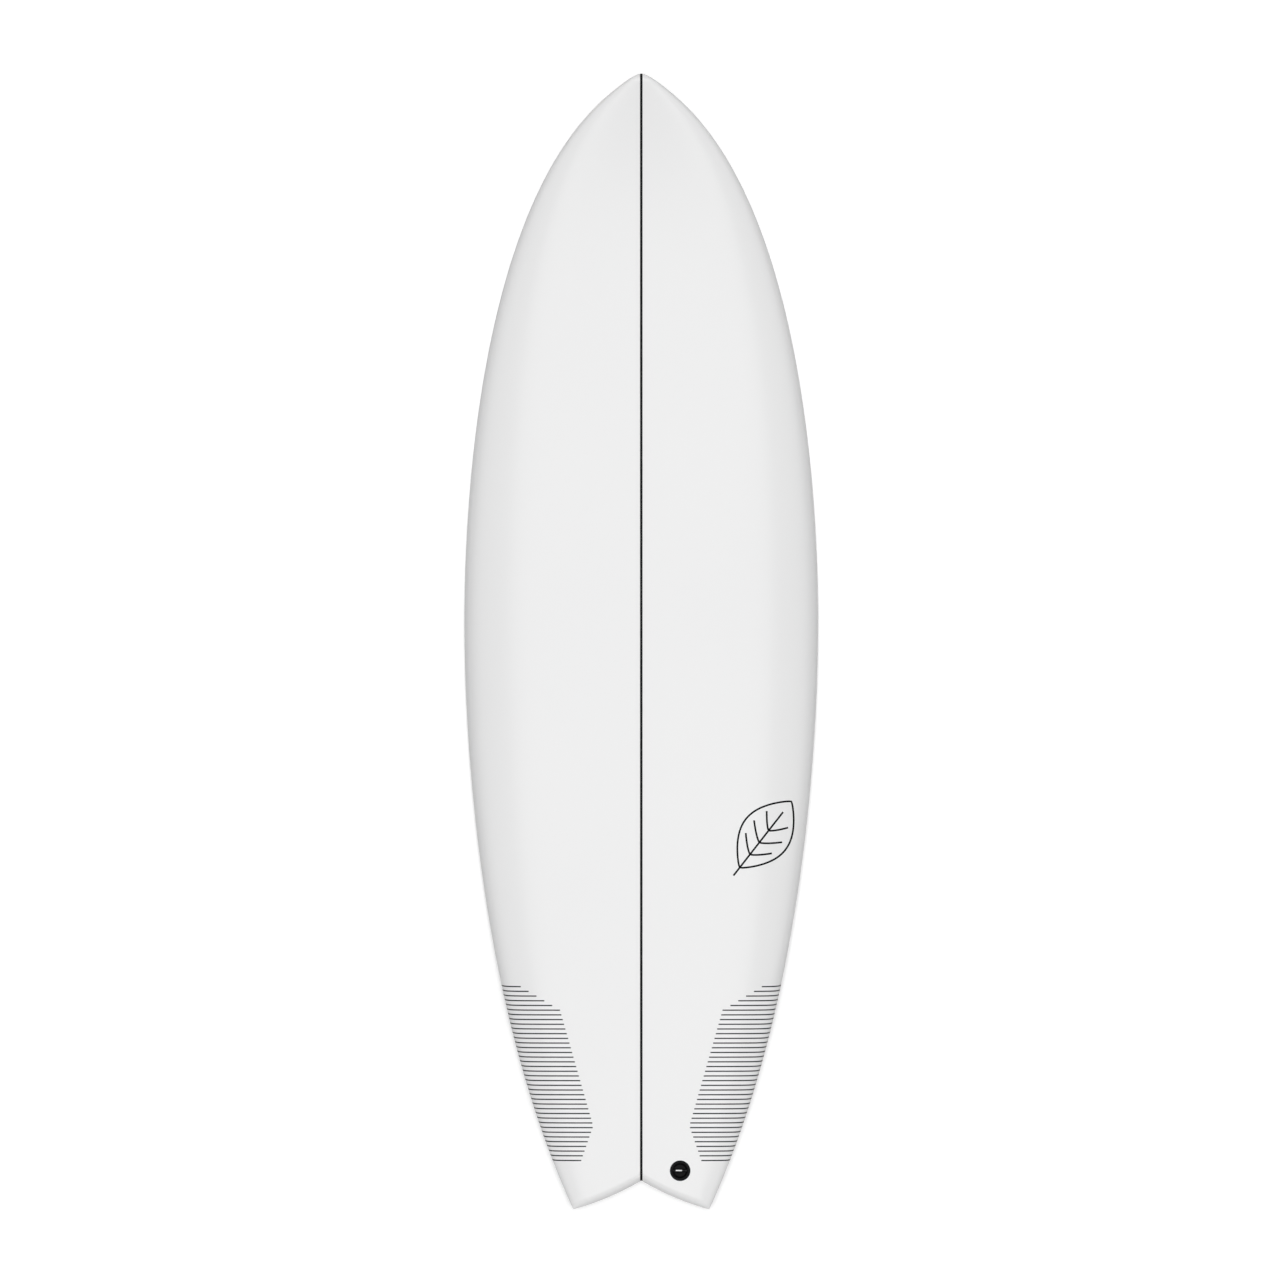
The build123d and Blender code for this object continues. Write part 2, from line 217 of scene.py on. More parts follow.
def apex(y):
    """Height of the rail's widest line."""
    return rocker(y) + RAIL_APEX * thickness(y)


def quarter_round(distance, radius):
    """Rises from 0 at an edge to 1 at the radius, as a quarter of an ellipse does."""
    share = np.clip(distance / radius, 0, 1)
    return np.sqrt(1 - (1 - share) ** 2)


def circle_through(a, b, c):
    """Centre and radius of the circle through three points."""
    rows = np.array([b - a, c - a]) * 2
    squares = np.array([b.length_squared - a.length_squared, c.length_squared - a.length_squared])
    centre = np.linalg.solve(rows, squares)
    return centre, float(np.hypot(centre[0] - a.x, centre[1] - a.y))


NOTCH_CENTRE, NOTCH_RADIUS = circle_through(NOTCH, NOTCH_BULGE, NOTCH_TIP)


def from_notch(x, y):
    """Distance from the edge of the swallow tail's notch."""
    inside = NOTCH_RADIUS - np.hypot(np.abs(x) - NOTCH_CENTRE[0], y - NOTCH_CENTRE[1])
    return np.where(y > NOTCH.y + NOTCH_REACH, LENGTH, inside)


def deck(t, y):
    """The deck at a station, from the stringer (t = 0) to the rail's widest line (t = 1)."""
    rail = apex(y)
    top = rail + quarter_round(HALF_LENGTH - y, NOSE_ROUND) * (1 - RAIL_APEX) * thickness(y)
    x = half_width(y) * bezier([0.0, DECK_SHOULDER, RAIL_LEAN, 1.0], t)
    z = bezier([top, top, rail + DECK_RAIL * (top - rail), rail], t)
    return x, rail + (z - rail) * quarter_round(from_notch(x, y), DECK_ROLL)


def bottom(t, y):
    """The bottom at a station, from the stringer (t = 0) to the rail's widest line (t = 1)."""
    rail = apex(y)
    middle = rail - quarter_round(HALF_LENGTH - y, NOSE_ROUND) * RAIL_APEX * thickness(y)
    flat = middle - CONCAVE * (1 - (y / HALF_LENGTH) ** 2)
    x = half_width(y) * bezier([0.0, *BOTTOM_SHARES, 1.0, 1.0], t)
    z = bezier([middle, middle, flat, flat, rail + BOTTOM_RAIL * (flat - rail), rail], t)
    return x, rail + (z - rail) * quarter_round(from_notch(x, y), BOTTOM_ROLL)


def across(surface, x, y):
    """The t at which a surface is |x| from the stringer at y."""
    low, high = np.zeros_like(x), np.ones_like(x)
    for _ in range(BISECTIONS):
        middle = (low + high) / 2
        short = surface(middle, y)[0] < np.abs(x)
        low, high = np.where(short, middle, low), np.where(short, high, middle)
    return (low + high) / 2


def height(surface, x, y):
    """Height of a surface over a point of the plan."""
    x, y = np.asarray(x, float), np.asarray(y, float)
    return surface(across(surface, x, y), y)[1]


def seat(surface, x, y, up):
    """A plane on a surface, as part.py has it: z outwards, x towards the tail."""
    step = 1.0
    slope_x = (height(surface, x + step, y) - height(surface, x - step, y)) / (2 * step)
    slope_y = (height(surface, x, y + step) - height(surface, x, y - step)) / (2 * step)
    z_dir = Vector((-up * slope_x, -up * slope_y, up)).normalized()
    x_dir = Vector((0, -1, -slope_y))
    x_dir = (x_dir - z_dir * x_dir.dot(z_dir)).normalized()
    turned = Matrix((x_dir, z_dir.cross(x_dir), z_dir)).transposed().to_4x4()
    return Matrix.Translation((x, y, height(surface, x, y))) @ turned


def fin_plane(name, side):
    """The plane of a fin's base: x towards the tail, z along the fin, y across it."""
    (x, y), toe, cant = FINS[name]
    toed = Matrix.Rotation(-side * radians(toe), 4, "Z")
    canted = Matrix.Rotation(side * radians(cant), 4, "X")
    return seat(bottom, side * x, y, -1) @ toed @ canted


def raised(surface, t, y, side, lift):
    """Points that stand a little off a surface, along its normal; t and y are arrays."""
    small = 0.001

    def point(t, y):
        x, z = surface(t, y)
        return np.stack([x, y, z], -1)

    here = point(t, y)
    along = point(t, y + small) - point(t, y - small)
    round_rail = point(np.minimum(t + small, 1), y) - point(np.maximum(t - small, 0), y)
    normal = np.cross(round_rail, along)
    outwards = here - np.stack([0 * y, y, apex(y)], -1)
    normal *= np.sign((normal * outwards).sum(-1))[..., None]
    here += lift * normal / np.linalg.norm(normal, axis=-1)[..., None]
    here[..., 0] *= side
    return here


# ---------------------------------------------------------------- mesh helpers
def add_mesh(name, points, faces, material, body="board", smooth=True):
    """A piece from points in the level frame, set down in the frame and riding on a body."""
    mesh = bpy.data.meshes.new(name)
    mesh.from_pydata([PLACE @ Vector(point) for point in points], [], faces)
    mesh.validate()
    mesh.polygons.foreach_set("use_smooth", [smooth] * len(mesh.polygons))
    mesh.materials.append(material)
    piece = bpy.data.objects.new(name, mesh)
    bpy.context.scene.collection.objects.link(piece)
    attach(piece, body)
    return piece


def grid_faces(rows, columns, flip=False):
    faces = []
    for i in range(rows - 1):
        for j in range(columns - 1):
            corner = i * columns + j
            face = (corner, corner + columns, corner + columns + 1, corner + 1)
            faces.append(face[::-1] if flip else face)
    return faces


# ---------------------------------------------------------------- materials
NOISE_SPAN = (0.3, 0.7)  # where most of a noise's values lie
GRAIN_DETAIL = 4.0


def new_material(name):
    """A material with its nodes, its links, its shader and its object coordinates."""
    material = bpy.data.materials.new(name)
    material.use_nodes = True
    nodes, links = material.node_tree.nodes, material.node_tree.links
    shader = nodes["Principled BSDF"]
    place = nodes.new("ShaderNodeTexCoord")
    return material, nodes, links, shader, place.outputs["Object"]


def noise(nodes, links, place, scale, detail=3.0):
    texture = nodes.new("ShaderNodeTexNoise")
    texture.inputs["Scale"].default_value = scale
    texture.inputs["Detail"].default_value = detail
    links.new(place, texture.inputs["Vector"])
    return texture.outputs["Fac"]


def spread(nodes, links, value, low, high):
    """Maps a noise from its usual span to a chosen one."""
    ramp = nodes.new("ShaderNodeMapRange")
    ramp.inputs["From Min"].default_value = NOISE_SPAN[0]
    ramp.inputs["From Max"].default_value = NOISE_SPAN[1]
    ramp.inputs["To Min"].default_value = low
    ramp.inputs["To Max"].default_value = high
    links.new(value, ramp.inputs["Value"])
    return ramp.outputs["Result"]


def tint(nodes, links, value, first, second):
    """Mixes two colours by a noise."""
    mix = nodes.new("ShaderNodeMix")
    mix.data_type = "RGBA"
    mix.inputs["A"].default_value = (*first, 1)
    mix.inputs["B"].default_value = (*second, 1)
    links.new(spread(nodes, links, value, 0, 1), mix.inputs["Factor"])
    return mix.outputs["Result"]


def bump(nodes, links, shader, value, distance, strength=1.0):
    node = nodes.new("ShaderNodeBump")
    node.inputs["Distance"].default_value = distance
    node.inputs["Strength"].default_value = strength
    links.new(value, node.inputs["Height"])
    links.new(node.outputs["Normal"], shader.inputs["Normal"])


def finish_material(name, light, dark, patch, rough, grain, depth, **sockets):
    """A surface with slow colour patches, a varying roughness and a fine grain.

    patch and grain are the scales of their noises; depth is the grain's height in metres.
    """
    material, nodes, links, shader, place = new_material(name)
    slow = noise(nodes, links, place, patch)
    fine = noise(nodes, links, place, grain, GRAIN_DETAIL)
    links.new(tint(nodes, links, slow, dark, light), shader.inputs["Base Color"])
    links.new(spread(nodes, links, fine, rough[0], rough[1]), shader.inputs["Roughness"])
    bump(nodes, links, shader, fine, depth)
    for socket, value in sockets.items():
        shader.inputs[socket.replace("_", " ")].default_value = value
    return material


def painted_highlight_pin(name, plane):
    """Blackened steel with a painted highlight: a bright strip along the middle of the pin's top,
    drawn as metal a leash string has rubbed bright.
    """
    material = finish_material(
        name,
        light=(0.93, 0.93, 0.93),
        dark=(0.85, 0.85, 0.86),
        patch=400,
        rough=(0.3, 0.4),
        grain=1800,
        depth=8e-6,
        Metallic=0.5,
    )
    nodes, links = material.node_tree.nodes, material.node_tree.links
    shader = nodes["Principled BSDF"]
    highlight_colour = shader.inputs["Base Color"].links[0].from_socket
    separate = nodes.new("ShaderNodeSeparateXYZ")
    links.new(nodes["Texture Coordinate"].outputs["Object"], separate.inputs["Vector"])
    centre = PLACE @ plane.translation

    def within(axis, middle, size):
        """1 where the bar is within a size round a middle, along an axis."""
        node = nodes.new("ShaderNodeMath")
        node.operation = "COMPARE"
        node.inputs[1].default_value = middle
        node.inputs[2].default_value = size / 2 / 1000
        links.new(separate.outputs[axis], node.inputs[0])
        return node.outputs["Value"]

    # painted highlight: bright colour only in a narrow strip along the top of the round pin,
    # where its highlight falls; the rest stays black
    highlight_mask = nodes.new("ShaderNodeMath")
    highlight_mask.operation = "MULTIPLY"
    links.new(within("X", centre.x - HIGHLIGHT_SHIFT / 1000, HIGHLIGHT_LENGTH), highlight_mask.inputs[0])
    links.new(within("Y", centre.y, HIGHLIGHT_WIDTH), highlight_mask.inputs[1])
    mix = nodes.new("ShaderNodeMix")
    mix.data_type = "RGBA"
    mix.inputs["A"].default_value = PIN_BLACK
    links.new(highlight_colour, mix.inputs["B"])
    links.new(highlight_mask.outputs["Value"], mix.inputs["Factor"])
    links.new(mix.outputs["Result"], shader.inputs["Base Color"])
    return material


white_deck = finish_material(
    "deck_white",
    light=(0.79, 0.79, 0.79),
    dark=(0.778, 0.778, 0.78),
    patch=2.5,
    rough=(0.15, 0.21),
    grain=900,
    depth=4e-6,
)
white_bottom = finish_material(
    "bottom_white",
    light=(0.79, 0.79, 0.79),
    dark=(0.778, 0.778, 0.78),
    patch=2.5,
    rough=(0.14, 0.2),
    grain=500,
    depth=3e-6,
)
black_print = finish_material(
    "black_print",
    light=(0.009, 0.009, 0.01),
    dark=(0.004, 0.004, 0.005),
    patch=30,
    rough=(0.4, 0.5),
    grain=900,
    depth=4e-6,
    Specular_IOR_Level=0.12,
)
grey_print = finish_material(
    "grey_print",
    light=(0.035, 0.035, 0.037),
    dark=(0.02, 0.02, 0.022),
    patch=30,
    rough=(0.4, 0.5),
    grain=900,
    depth=4e-6,
    Specular_IOR_Level=0.15,
)
black_nylon = finish_material(
    "black_nylon",
    light=(0.007, 0.007, 0.0075),
    dark=(0.004, 0.004, 0.0045),
    patch=90,
    rough=(0.38, 0.55),
    grain=1400,
    depth=2e-5,
    Specular_IOR_Level=0.15,
)
steel = finish_material(
    "stainless_steel",
    light=(0.62, 0.62, 0.62),
    dark=(0.5, 0.5, 0.5),
    patch=200,
    rough=(0.14, 0.26),
    grain=1800,
    depth=8e-6,
    Metallic=1.0,
)
fin_black = finish_material(
    "fin_composite",
    light=(0.03, 0.031, 0.034),
    dark=(0.016, 0.017, 0.02),
    patch=40,
    rough=(0.2, 0.3),
    grain=700,
    depth=1e-5,
    Coat_Weight=0.2,
    Coat_Roughness=0.12,
    Specular_IOR_Level=0.35,
)
foam_white = finish_material(
    "foam_white",
    light=(0.86, 0.86, 0.84),
    dark=(0.76, 0.76, 0.74),
    patch=300,
    rough=(0.8, 0.95),
    grain=500,
    depth=3e-4,
)
foam_dense = finish_material(
    "dense_foam",
    light=(0.34, 0.45, 0.52),
    dark=(0.28, 0.38, 0.45),
    patch=300,
    rough=(0.7, 0.9),
    grain=900,
    depth=1e-4,
)
stringer_wood = finish_material(
    "stringer_wood",
    light=(0.42, 0.27, 0.14),
    dark=(0.3, 0.18, 0.09),
    patch=60,
    rough=(0.5, 0.7),
    grain=400,
    depth=5e-5,
)
floor_white = finish_material(
    "floor_white",
    light=(0.965, 0.965, 0.965),
    dark=(0.955, 0.955, 0.955),
    patch=0.5,
    rough=(0.8, 0.9),
    grain=60,
    depth=2e-5,
    Emission_Strength=0.1,
)

# ---------------------------------------------------------------- laminates
COLUMNS = 60  # from the stringer to a rail
ROWS = 300
NOSE_CROWDING = 1.6  # over 1, the rows stand closer towards the nose
ROLL_ROWS = 12
ROLL_SPREAD = 1.1  # length of the notch's own rows, as a share of its roll
RING = 64  # points round a plug's hole
LIP = 1.2  # depth of the hole's edge
HOLE_GAP = 0.15
COLUMN_START = 20.0  # ahead of the notch, where the search for a column's end starts
COLLAR = 3.0  # a face with a corner this near to a hole gives way to its collar
COLLAR_RING = 1.5  # the collar's ring of points that stays even


def column_ends(surface, t):
    """The station where each line along the board meets the notch."""
    low, high = np.full_like(t, -HALF_LENGTH), np.full_like(t, NOTCH.y + COLUMN_START)
    for _ in range(BISECTIONS):
        middle = (low + high) / 2
        outside = from_notch(surface(middle * 0 + t, middle)[0], middle) < 0
        low, high = np.where(outside, middle, low), np.where(outside, high, middle)
    return high


def border_of(faces):
    """The points round a patch of faces, in order."""
    edges = {(a, b) for face in faces for a, b in zip(face, (*face[1:], face[0]))}
    following = {a: b for a, b in edges if (b, a) not in edges}
    loop = [min(following)]
    while following[loop[-1]] != loop[0]:
        loop.append(following[loop[-1]])
    return loop


def open_hole(points, faces, surface, plane, radius):
    """Gives way to a plug: the faces near it become a collar with a round hole and a lip."""
    away = np.linalg.norm(np.array(points) - plane.translation, axis=1)
    close = set(np.flatnonzero(away < radius + COLLAR))
    near = [face for face in faces if not close.isdisjoint(face)]
    kept = [face for face in faces if close.isdisjoint(face)]
    rings = []
    for reach, depth in ((radius + COLLAR_RING, 0), (radius, 0), (radius, LIP)):
        rings.append(range(len(points), len(points) + RING))
        for i in range(RING):
            turn = 2 * pi * i / RING
            spoke = plane @ Vector((reach * cos(turn), reach * sin(turn), -depth))
            z = spoke.z if depth else float(height(surface, spoke.x, spoke.y))
            points.append((spoke.x, spoke.y, z))
    between, rim, lip = rings
    loops = [border_of(near), list(between)]
    used = loops[0] + loops[1]
    inverse = plane.inverted()
    flat = [(inverse @ Vector(points[index])).to_2d() for index in used]
    first, second = range(len(loops[0])), range(len(loops[0]), len(used))
    edges = [(a, b) for run in (first, second) for a, b in zip(run, (*run[1:], run[0]))]
    triangles = delaunay_2d_cdt(flat, edges, [], 1, 1e-6)[2]
    for triangle in triangles:
        if min(triangle) < len(loops[0]):
            kept.append(tuple(used[corner] for corner in triangle))
    for outer, inner in ((between, rim), (rim, lip)):
        kept += [(outer[i - 1], outer[i], inner[i], inner[i - 1]) for i in range(RING)]
    return kept, rim


def laminate(name, surface, roll, material, flip, holes):
    """One skin of the board, as a grid of lines from the nose to the tail."""
    half = np.linspace(0, 1, COLUMNS + 1)
    t = np.concatenate([half[::-1], half[1:]])
    side = np.concatenate([-np.ones(COLUMNS), [0], np.ones(COLUMNS)])
    ends = column_ends(surface, t)
    turns = np.linspace(pi / 2, 0, ROLL_ROWS + 1)
    last = ROLL_SPREAD * roll * (1 - np.cos(turns))
    first = (np.arange(ROWS) / ROWS) ** NOSE_CROWDING
    run = HALF_LENGTH - ends - last[0]
    stations = [HALF_LENGTH - run * share for share in first] + [ends + back for back in last]
    points = []
    for y in stations:
        x, z = surface(t, y)
        points.extend(zip(side * x, y, z))
    faces = grid_faces(len(stations), len(t), flip)
    rims = set()
    for plane, radius in holes:
        faces, ring = open_hole(points, faces, surface, plane, radius)
        rims.update(ring)
    piece = add_mesh(name, points, faces, material)
    for edge in piece.data.edges:
        edge.use_edge_sharp = rims.issuperset(edge.vertices)
    return piece


cup_plane = seat(deck, *CUP_PLACE, 1)
cup_hole = (cup_plane, CUP_FLANGE_RADIUS + HOLE_GAP)
deck_laminate = laminate("deck_laminate", deck, DECK_ROLL, white_deck, False, [cup_hole])
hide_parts("deck_skin")

fin_planes = {(name, side): fin_plane(name, side) for name in FINS for side in SIDES.values()}
plug_holes = [
    (plane @ Matrix.Translation((along, side * PLUG_SHIFT, 0)), PLUG_RADIUS + HOLE_GAP)
    for (name, side), plane in fin_planes.items()
    for along in TABS
]
bottom_laminate = laminate("bottom_laminate", bottom, BOTTOM_ROLL, white_bottom, True, plug_holes)
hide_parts("bottom_skin")


# ---------------------------------------------------------------- print on the deck
def ribbon(name, left, right, material, closed=False):
    """A flat printed line between two rows of points."""
    count = len(left)
    points = [point for pair in zip(left, right) for point in pair]
    faces = [(2 * i, 2 * i + 2, 2 * i + 3, 2 * i + 1) for i in range(count - 1)]
    if closed:
        faces.append((2 * count - 2, 0, 1, 2 * count - 1))
    return add_mesh(name, points, faces, material)


def stringer_line(name, surface):
    """The dark line of the stringer, from the nose to the notch."""
    crowded = 1 - np.cos(np.linspace(0, pi / 2, STRINGER_END_POINTS))
    ends = crowded * STRINGER_END + STRINGER_GAP
    front, back = HALF_LENGTH - ends, NOTCH.y + ends[::-1]
    between = np.linspace(front[-1], back[0], STRINGER_POINTS)[1:-1]
    y = np.concatenate([front, between, back])
    t = across(surface, np.full_like(y, STRINGER_LINE / 2), y)
    sides = [raised(surface, t, y, side, PRINT_LIFT) for side in (-1, 1)]
    return ribbon(name, *sides, black_print)


def hatch_path(inner, y, side):
    """One edge of a hatch line: straight out over the deck, then wrapped round the rail.

    The print bends like a sheet: on the rail it runs square to the stringer as seen in the
    flattened sheet, so it gains ground towards the nose as it goes down the slanting side.
    """
    start = float(across(deck, np.array(inner), np.array(y)))
    over = 1 - np.linspace(1, 0, HATCH_POINTS[0]) ** 2 * (1 - start)
    under = np.linspace(1, HATCH_UNDER, HATCH_POINTS[1])[1:]
    slant = atan2(half_width(y + SLANT_STEP) - half_width(y - SLANT_STEP), 2 * SLANT_STEP)
    x, z = (np.concatenate(pair) for pair in zip(deck(over, y), bottom(under, y)))
    run = np.hypot(np.diff(x), np.diff(z))
    gain = sin(slant) * cos(slant) * (run - np.diff(x))
    places = y + np.concatenate([[0], np.cumsum(gain)])
    upper = raised(deck, over, places[: len(over)], side, PRINT_LIFT)
    lower = raised(bottom, under, places[len(over) :], side, PRINT_LIFT)
    return np.concatenate([upper, lower])


def hatching(name, side):
    """The lines on one tail rail, as one piece."""
    points, faces = [], []
    for i in range(HATCH_COUNT):
        y = HATCH_FIRST - i * HATCH_PITCH
        inner = np.interp(-y, *zip(*HATCH_INNER))
        edges = [hatch_path(inner, y + half, side) for half in (HATCH_LINE / 2, -HATCH_LINE / 2)]
        base = len(points)
        points.extend(point for pair in zip(*edges) for point in pair)
        count = len(edges[0])
        faces += [tuple(base + 2 * k + n for n in (0, 1, 3, 2)) for k in range(count - 1)]
    return add_mesh(name, points, faces, grey_print)


def flat_to_deck(x, y):
    """Places points of the plan on the deck, lifted as print is."""
    return raised(deck, across(deck, x, y), y, np.sign(x), PRINT_LIFT)


def drawn_line(name, path, closed):
    """A thin printed line along a path of the plan."""
    x, y = np.array(path).T
    if closed:
        step_x, step_y = np.roll(x, -1) - np.roll(x, 1), np.roll(y, -1) - np.roll(y, 1)
    else:
        step_x, step_y = np.gradient(x), np.gradient(y)
    size = np.hypot(step_x, step_y) / (EMBLEM_LINE / 2)
    across_x, across_y = -step_y / size, step_x / size
    left = flat_to_deck(x + across_x, y + across_y)
    right = flat_to_deck(x - across_x, y - across_y)
    return ribbon(name, left, right, black_print, closed)


def leaf_point(along, out):
    """A point of the leaf: along its rib from the stalk end, and out from the rib."""
    x = out * cos(LEAF_TILT) + (along - LEAF_LENGTH / 2) * sin(LEAF_TILT)
    y = (along - LEAF_LENGTH / 2) * cos(LEAF_TILT) - out * sin(LEAF_TILT)
    return EMBLEM_CENTRE[0] + x, EMBLEM_CENTRE[1] + y


def leaf_edge():
    """The leaf's closed outline."""
    share = np.linspace(0, 1, LEAF_POINTS)
    out = LEAF_WIDTH / 2 * np.sin(pi * share) ** LEAF_BLUNT
    along = LEAF_LENGTH * share
    one = [leaf_point(a, o) for a, o in zip(along, out)]
    other = [leaf_point(a, -o) for a, o in zip(along, out)]
    return one[:-1] + other[:0:-1]


def leaf_vein(start, side):
    """A curved vein from the rib towards the leaf's edge."""
    share = np.linspace(0, 1, VEIN_POINTS)
    along = LEAF_LENGTH * (start + VEIN_REACH * share)
    widest = LEAF_WIDTH / 2 * VEIN_OUT * sin(pi * (start + VEIN_REACH))
    out = side * widest * share**VEIN_BEND
    return [leaf_point(a, o) for a, o in zip(along, out)]


stringer_line("stringer_line_deck", deck)
stringer_line("stringer_line_bottom", bottom)
for label, sign in SIDES.items():
    hatching(f"hatch_{label}", sign)
drawn_line("leaf_outline", leaf_edge(), True)
rib = [leaf_point(LEAF_LENGTH * share, 0) for share in np.linspace(*RIB_ENDS, RIB_POINTS)]
drawn_line("leaf_rib", rib, False)
for start in LEAF_VEINS:
    for label, sign in SIDES.items():
        drawn_line(f"leaf_vein_{label}_{round(100 * start)}", leaf_vein(start, sign), False)


# ---------------------------------------------------------------- leash cup
def turned_piece(name, plane, profile, material):
    """A piece turned on a lathe: its profile is a row of (radius, height) pairs."""
    count = len(profile)
    points = []
    for i in range(TURN_STEPS):
        angle = 2 * pi * i / TURN_STEPS
        points += [plane @ Vector((r * cos(angle), r * sin(angle), h)) for r, h in profile]
    faces = []
    for i in range(TURN_STEPS):
        a, b = i * count, (i + 1) % TURN_STEPS * count
        faces += [(a + k, b + k, b + k + 1, a + k + 1) for k in range(count - 1)]
    return add_mesh(name, points, faces, material)


def arc(centre, radius, first, last):
    """Points of a round corner in a profile; the angles are in degrees."""
    turns = np.radians(np.linspace(first, last, ARC_POINTS))
    return [(centre[0] + radius * np.cos(a), centre[1] + radius * np.sin(a)) for a in turns]


edge = (CUP_FLANGE_RADIUS - CUP_EDGE_ROUND, CUP_FLANGE_PROUD - CUP_EDGE_ROUND)
mouth = (CUP_MOUTH_RADIUS + CUP_MOUTH_ROUND, CUP_FLANGE_PROUD - CUP_MOUTH_ROUND)
foot = (CUP_FLOOR_RADIUS - CUP_FLOOR_ROUND, CUP_FLOOR_ROUND - CUP_FLOOR_DEPTH)
cup_profile = [
    (CUP_FLANGE_RADIUS, -CUP_FLANGE_DEPTH),
    *arc(edge, CUP_EDGE_ROUND, 0, 90),
    *arc(mouth, CUP_MOUTH_ROUND, 90, 180),
    *arc(foot, CUP_FLOOR_ROUND, 0, -90),
    (CENTRE_HOLE, -CUP_FLOOR_DEPTH),
]
leash_cup = turned_piece("leash_cup_moulding", cup_plane, cup_profile, black_nylon)
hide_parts("leash_cup")


# ---------------------------------------------------------------- fins
def fin_edge_at(curve, level):
    """Where a fin's leading or trailing edge stands at a level."""
    along, out = (bezier([point[axis] for point in curve], STEPS) for axis in (0, 1))
    return np.interp(level, out, along)


def place_on(plane, local):
    """Points of a plane's own frame, as points of the level frame."""
    matrix = np.array(plane)
    return local @ matrix[:3, :3].T + matrix[:3, 3]


def fin_base(plane, local):
    """How deep a fin's base must start at each point to clear the bottom."""
    depth = np.zeros(len(local))
    for _ in range(BASE_PASSES):
        x, y, z = place_on(plane, np.column_stack([local, depth])).T
        depth -= height(bottom, x, y) - z - BASE_CLEARANCE
    return depth


def blade(plane, side, scale):
    """A fin's blade: closed rows of points, each from the foiled face to the flat one."""
    share = np.linspace(0, 1, FIN_COLUMNS + 1)
    inner = side * TAB_THICKNESS / 2
    base, rows = None, []
    for level in FIN_TIP * np.sin(np.linspace(0, pi / 2, FIN_ROWS)):
        lead, trail = (scale * fin_edge_at(curve, level) for curve in (FIN_LEADING, FIN_TRAILING))
        narrow = quarter_round(FIN_DEPTH - level, FIN_TIP_ROUND)
        thick = FIN_THICKNESS * (1 - FIN_TAPER * level / FIN_DEPTH) * narrow
        first, second = FIN_FOIL
        along = bezier([0.0, first[0], second[0], 1.0], share)
        out = bezier([0.0, first[1] * thick, second[1] * thick, FIN_EDGE * narrow], share)
        foiled = np.column_stack([lead + along * (trail - lead), inner - side * out])
        flat = np.column_stack([foiled[:, 0], np.full_like(out, inner)])
        section = np.concatenate([foiled, flat[:0:-1]])
        if base is None:
            base = fin_base(plane, section)
        depth = scale * level + base * (1 - level / FIN_DEPTH) ** BASE_FADE
        rows.append(place_on(plane, np.column_stack([section, depth])))
    return rows


def tab(plane, along):
    """A fin's tab: a block with rounded corners and a bevelled end."""
    rows = []
    for depth, inset in ((TAB_ROOT, 0), (TAB_ROUND - TAB_DEPTH, 0), (-TAB_DEPTH, TAB_ROUND / 2)):
        row = []
        for corner, (right, up) in enumerate(((1, 1), (-1, 1), (-1, -1), (1, -1))):
            x = along + right * (TAB_LENGTH / 2 - inset - TAB_ROUND)
            y = up * (TAB_THICKNESS / 2 - inset - TAB_ROUND)
            for turn in pi / 2 * (corner + np.linspace(0, 1, CORNER_POINTS)):
                row.append((x + TAB_ROUND * cos(turn), y + TAB_ROUND * sin(turn), depth))
        rows.append(place_on(plane, np.array(row)))
    return rows


def closed_rows(points, faces, rows, paired):
    """Joins closed rows of points into a solid.

    Paired ends are filled with strips from one side of the row to the other.
    """
    base, count = len(points), len(rows[0])
    points.extend(tuple(point) for row in rows for point in row)
    for i in range(len(rows) - 1):
        for j in range(count):
            a, b = base + i * count + j, base + i * count + (j + 1) % count
            faces.append((a, b, b + count, a + count))
    for first in (base, base + (len(rows) - 1) * count):
        ring = [first + j for j in range(count)]
        if paired:
            faces.append((ring[0], ring[1], ring[-1]))
            middle = count // 2
            faces += [(ring[k], ring[k + 1], ring[-k - 1], ring[-k]) for k in range(1, middle)]
        else:
            faces.append(tuple(ring))


def fin(name, label, side):
    """A whole fin, riding on its own body."""
    plane = fin_planes[name, side]
    points, faces = [], []
    closed_rows(points, faces, blade(plane, side, FIN_SCALES[name]), True)
    for along in TABS:
        closed_rows(points, faces, tab(plane, along), False)
    node = f"fin_{name}_{label}"
    piece = add_mesh(f"{node}_moulding", points, faces, fin_black, body=node)
    outwards = bmesh.new()
    outwards.from_mesh(piece.data)
    bmesh.ops.recalc_face_normals(outwards, faces=outwards.faces)
    outwards.to_mesh(piece.data)
    outwards.free()
    piece.data.set_sharp_from_angle(angle=SHARP_ANGLE)
    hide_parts(node)


for name in FINS:
    for label, sign in SIDES.items():
        fin(name, label, sign)

# ---------------------------------------------------------------- CAD pieces that stay
leash_pin = painted_highlight_pin("painted_highlight_pin", cup_plane)
SLOT_MATERIALS = {
    "deck_gloss_white": white_deck,
    "bottom_gloss_white": white_bottom,
    "foam_white": foam_white,
    "dense_foam": foam_dense,
    "stringer_wood": stringer_wood,
    "black_nylon": black_nylon,
    "stainless_steel": steel,
    "fin_composite": fin_black,
}
for part in frame["record"]["subparts"]:
    for slot in frame["nodes"][part["node"]].material_slots:
        slot.material = SLOT_MATERIALS[part["material_slot"]]
# the leash bar gets the blackened steel with the painted highlight
for slot in frame["nodes"]["leash_bar"].material_slots:
    slot.material = leash_pin

# ---------------------------------------------------------------- stage, light, camera
bpy.ops.mesh.primitive_plane_add(size=FLOOR_SIZE)
floor = bpy.context.object
floor.name = "floor"
floor.data.materials.append(floor_white)
floor.visible_diffuse = False

scene = bpy.context.scene
scene.view_settings.view_transform = "Standard"

pitched = Matrix.Rotation(-radians(PITCH), 4, "X")
board_up = pitched @ Vector((0, 0, 1))
board_ahead = pitched @ Vector((0, 1, 0))


